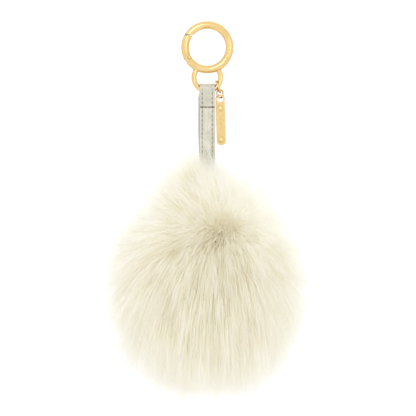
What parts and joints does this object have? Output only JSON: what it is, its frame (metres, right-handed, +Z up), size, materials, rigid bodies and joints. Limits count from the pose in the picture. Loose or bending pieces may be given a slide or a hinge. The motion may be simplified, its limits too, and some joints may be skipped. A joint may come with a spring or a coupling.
{
  "type": "fur pompom keychain",
  "caption": "Long-haired cream fur pompom on a folded metallic leather strap, hung from a gold spring-gate ring with a small riveted tag on two jump rings.",
  "frame": {"origin": "centre of the spring-gate ring's eye", "axes": "+Z up along the hanging strap, -Y is the front, towards which the tag's engraved face looks, +X to the right, on the tag's side"},
  "size_m": [0.1203, 0.1203, 0.2208],
  "materials": {
    "gold_polished": "polished",
    "gold_satin": "satin",
    "spring_steel": "satin",
    "metallic_leather": "satin",
    "leather_thread": "matte",
    "seam_thread": "matte",
    "tape": "matte",
    "pelt_leather": "matte",
    "fibre_fill": "matte",
    "washer_plastic": "matte",
    "cream_fur": "matte"
  },
  "bodies": {
    "ring": {"ring_body": "gold_polished", "strap_loop": "gold_polished", "gate_pin": "gold_polished", "gate_spring": "spring_steel"},
    "gate": {"ring_gate": "gold_polished"},
    "strap": {"strap_leather": "metallic_leather", "strap_core": "tape", "edge_stitching": "leather_thread", "cross_stitch": "seam_thread"},
    "pompom": {"strap_tail": "metallic_leather", "anchor_rivet": "spring_steel", "anchor_washer": "washer_plastic", "gather_thread": "seam_thread", "pelt_skin": "pelt_leather", "stuffing_core": "fibre_fill", "fur_pile": "cream_fur"},
    "upper_link": {"upper_link": "gold_polished"},
    "lower_link": {"lower_link": "gold_polished"},
    "tag": {"tag_plate": "gold_satin", "tag_studs": "gold_polished"}
  },
  "joints": [
    {"name": "gate_hinge", "type": "hinge", "parent": "ring", "child": "gate", "pos_m": [-0.01065, 0, -0.00615], "axis": [0, 1, 0], "range_deg": [0, 35], "stiffness_Nm_per_rad": 0.02, "springref_deg": -34.38},
    {"name": "strap_swing", "type": "hinge", "parent": "ring", "child": "strap", "pos_m": [0, 0, -0.0248], "axis": [1, 0, 0], "range_deg": [-75, 75]},
    {"name": "pompom_tilt", "type": "hinge", "parent": "strap", "child": "pompom", "pos_m": [0, 0, -0.068], "axis": [1, 0, 0], "range_deg": [-40, 40]},
    {"name": "upper_link_swing", "type": "hinge", "parent": "ring", "child": "upper_link", "pos_m": [0.0062, 0, -0.02275], "axis": [0.9397, 0, 0.342], "range_deg": [-30, 30]},
    {"name": "lower_link_swing", "type": "hinge", "parent": "upper_link", "child": "lower_link", "pos_m": [0.00757, 0, -0.0265], "axis": [0, -1, 0], "range_deg": [-1, 45]},
    {"name": "tag_swing", "type": "hinge", "parent": "lower_link", "child": "tag", "pos_m": [0.00757, 0, -0.03063], "axis": [0, -1, 0], "range_deg": [-2, 60]}
  ]
}
